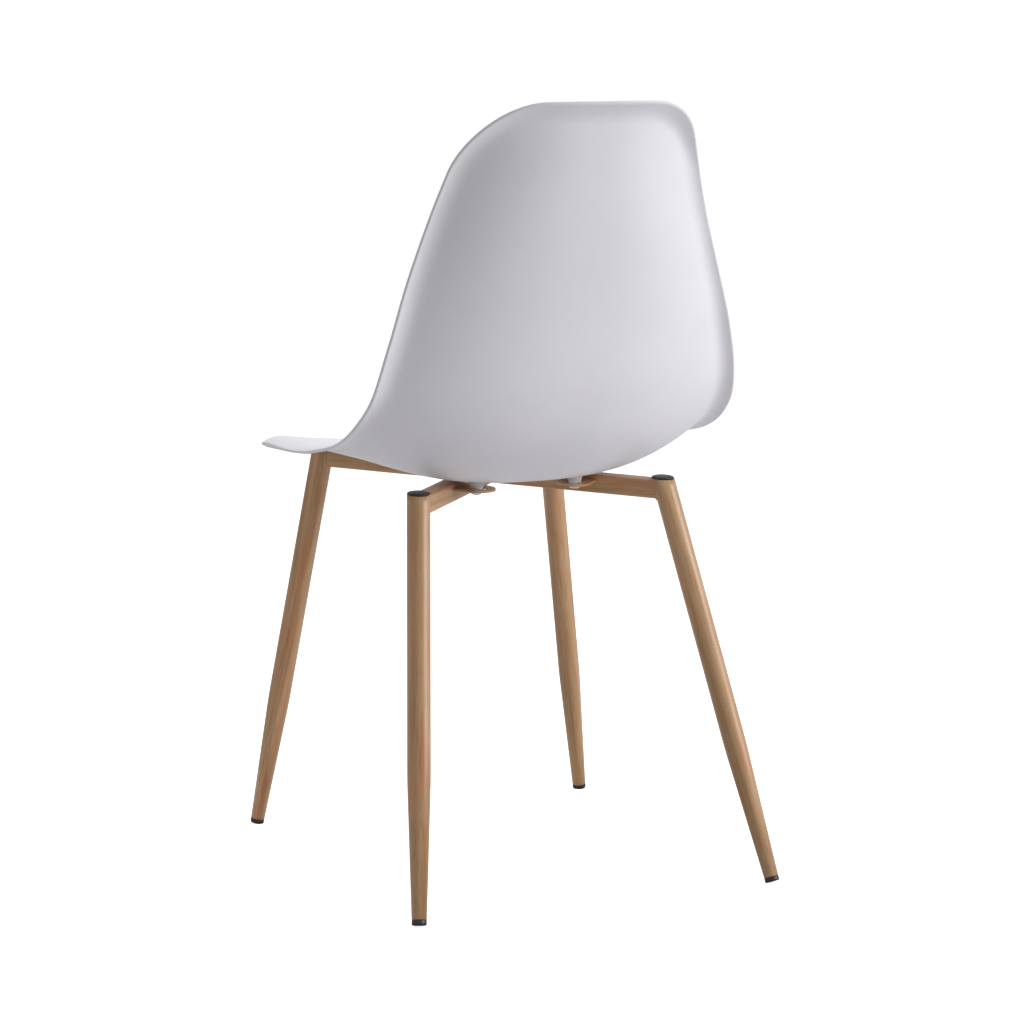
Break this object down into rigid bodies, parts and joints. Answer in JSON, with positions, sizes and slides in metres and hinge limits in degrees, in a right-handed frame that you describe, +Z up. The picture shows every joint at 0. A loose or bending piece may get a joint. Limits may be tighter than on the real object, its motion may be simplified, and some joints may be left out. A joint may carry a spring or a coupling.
{
  "type": "dining chair",
  "caption": "Dining chair with a moulded plastic bucket shell on a welded steel underframe with four splayed, tapered, wood-effect legs.",
  "frame": {"origin": "on the floor, under the middle of the chair's bounding box", "axes": "+Z up; -Y is the front of the seat and +Y the back; +X is the sitter's left"},
  "size_m": [0.442, 0.491, 0.8323],
  "materials": {
    "white_shell": "white polypropylene, satin, with a very fine moulded texture",
    "wood_film_steel": "satin film with a printed light oak grain that runs along each tube",
    "black_plastic": "black moulded plastic, slightly shiny",
    "zinc_hardware": "bright zinc plate",
    "brass_inserts": "plain turned brass"
  },
  "bodies": {
    "root": {"seat_shell": "white_shell", "threaded_inserts": "brass_inserts", "mounting_screws": "zinc_hardware", "flat_washers": "zinc_hardware", "spring_washers": "zinc_hardware", "long_cross_bar": "wood_film_steel", "half_bar_rear": "wood_film_steel", "half_bar_front": "wood_film_steel", "leg_welds": "wood_film_steel", "crossing_welds": "wood_film_steel", "tab_front_left": "wood_film_steel", "tab_front_right": "wood_film_steel", "tab_rear_left": "wood_film_steel", "tab_rear_right": "wood_film_steel", "leg_front_left": "wood_film_steel", "leg_front_right": "wood_film_steel", "leg_rear_left": "wood_film_steel", "leg_rear_right": "wood_film_steel", "leg_cap_front_left": "black_plastic", "leg_cap_front_right": "black_plastic", "leg_cap_rear_left": "black_plastic", "leg_cap_rear_right": "black_plastic", "foot_front_left": "black_plastic", "foot_front_right": "black_plastic", "foot_rear_left": "black_plastic", "foot_rear_right": "black_plastic"}
  },
  "joints": []
}
